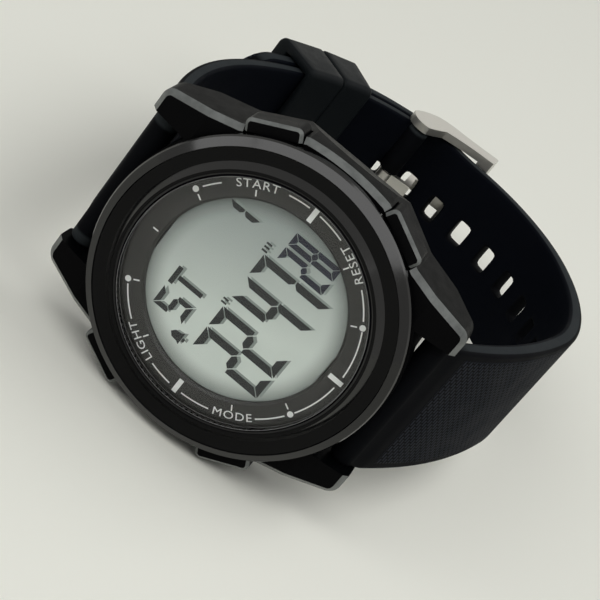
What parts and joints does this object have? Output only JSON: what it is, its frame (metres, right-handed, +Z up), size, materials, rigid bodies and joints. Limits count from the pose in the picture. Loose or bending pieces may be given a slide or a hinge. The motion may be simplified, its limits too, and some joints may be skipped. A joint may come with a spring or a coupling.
{
  "type": "digital wristwatch",
  "caption": "Round digital wristwatch with lugs, push buttons and a buckled resin strap with keepers, standing on its side; the strap loop goes round a wrist.",
  "frame": {"origin": "centre of the bounding box's base, on the surface the watch lies on", "axes": "+Z up along the 9 to 3 o'clock line, -Y out of the dial, +X towards 6 o'clock"},
  "size_m": [0.071, 0.092, 0.0488],
  "materials": {
    "case_black": "satin",
    "bezel_black": "gloss",
    "button_black": "satin",
    "strap_black": "matte",
    "crystal_clear": "polished",
    "dial_black": "satin",
    "display_grey": "satin",
    "reflector_grey": "matte",
    "light_panel": "satin",
    "tray_grey": "matte",
    "seal_black": "matte",
    "connector_grey": "matte",
    "board_green": "satin",
    "chip_black": "matte",
    "lamp_white": "gloss",
    "steel_satin": "brushed",
    "brass_disc": "satin"
  },
  "bodies": {
    "case": {"case_body": "case_black", "bezel_ring": "bezel_black", "crystal": "crystal_clear", "crystal_gasket": "seal_black", "dial_ring": "dial_black", "display_glass": "display_grey", "display_reflector": "reflector_grey", "backlight_panel": "light_panel", "module_frame": "tray_grey", "display_connectors": "connector_grey", "circuit_board": "board_green", "controller_chip": "chip_black", "backlight_lamp": "lamp_white", "coin_cell": "steel_satin", "cell_clip": "steel_satin", "buzzer_disc": "brass_disc", "case_back": "steel_satin", "back_seal": "seal_black", "back_screws": "steel_satin", "spring_bar_12_tube": "steel_satin", "spring_bar_6_tube": "steel_satin", "button_start_seal": "seal_black", "button_reset_seal": "seal_black", "button_light_seal": "seal_black", "button_mode_seal": "seal_black"},
    "strap": {"strap_long": "strap_black", "strap_short": "strap_black", "keeper_fixed": "strap_black"},
    "sliding_keeper": {"keeper_sliding": "strap_black"},
    "buckle": {"buckle_frame": "steel_satin", "buckle_pin": "steel_satin"},
    "prong": {"buckle_prong": "steel_satin"},
    "button_start": {"button_start": "button_black", "button_start_clip": "steel_satin"},
    "button_reset": {"button_reset": "button_black", "button_reset_clip": "steel_satin"},
    "button_light": {"button_light": "button_black", "button_light_clip": "steel_satin"},
    "button_mode": {"button_mode": "button_black", "button_mode_clip": "steel_satin"},
    "spring_bar_12_left_tip": {"spring_bar_12_left_tip": "steel_satin"},
    "spring_bar_12_right_tip": {"spring_bar_12_right_tip": "steel_satin"},
    "spring_bar_6_left_tip": {"spring_bar_6_left_tip": "steel_satin"},
    "spring_bar_6_right_tip": {"spring_bar_6_right_tip": "steel_satin"}
  },
  "joints": [
    {"name": "strap_flex", "type": "hinge", "parent": "case", "child": "strap", "pos_m": [-0.03044, -0.03499, 0.02406], "axis": [0, 0.143, 0.9897], "range_deg": [-3, 3], "stiffness_Nm_per_rad": 1.2, "deforming": ["strap_long"]},
    {"name": "keeper_slide", "type": "hinge", "parent": "strap", "child": "sliding_keeper", "pos_m": [0.02621, -0.01246, 0.0208], "axis": [0, 0.143, 0.9897], "range_deg": [0, 8]},
    {"name": "buckle_pivot", "type": "hinge", "parent": "strap", "child": "buckle", "pos_m": [-0.00574, 0.03495, 0.01395], "axis": [0, 0.143, 0.9897], "range_deg": [0, 10]},
    {"name": "prong_pivot", "type": "hinge", "parent": "buckle", "child": "prong", "pos_m": [-0.00574, 0.03495, 0.01395], "axis": [0, 0.143, 0.9897], "range_deg": [0, 8]},
    {"name": "button_start_press", "type": "slide", "parent": "case", "child": "button_start", "axis": [0.4617, -0.1268, -0.8779], "range_m": [0, 0.0008], "stiffness_N_per_m": 1500},
    {"name": "button_reset_press", "type": "slide", "parent": "case", "child": "button_reset", "axis": [-0.4617, -0.1268, -0.8779], "range_m": [0, 0.0008], "stiffness_N_per_m": 1500},
    {"name": "button_light_press", "type": "slide", "parent": "case", "child": "button_light", "axis": [0.4617, 0.1268, 0.8779], "range_m": [0, 0.0008], "stiffness_N_per_m": 1500},
    {"name": "button_mode_press", "type": "slide", "parent": "case", "child": "button_mode", "axis": [-0.4617, 0.1268, 0.8779], "range_m": [0, 0.0008], "stiffness_N_per_m": 1500},
    {"name": "spring_bar_12_left_tip_slide", "type": "slide", "parent": "case", "child": "spring_bar_12_left_tip", "axis": [0, 0.143, 0.9897], "range_m": [0, 0.0015], "stiffness_N_per_m": 400},
    {"name": "spring_bar_12_right_tip_slide", "type": "slide", "parent": "case", "child": "spring_bar_12_right_tip", "axis": [0, -0.143, -0.9897], "range_m": [0, 0.0015], "stiffness_N_per_m": 400},
    {"name": "spring_bar_6_left_tip_slide", "type": "slide", "parent": "case", "child": "spring_bar_6_left_tip", "axis": [0, 0.143, 0.9897], "range_m": [0, 0.0015], "stiffness_N_per_m": 400},
    {"name": "spring_bar_6_right_tip_slide", "type": "slide", "parent": "case", "child": "spring_bar_6_right_tip", "axis": [0, -0.143, -0.9897], "range_m": [0, 0.0015], "stiffness_N_per_m": 400}
  ]
}
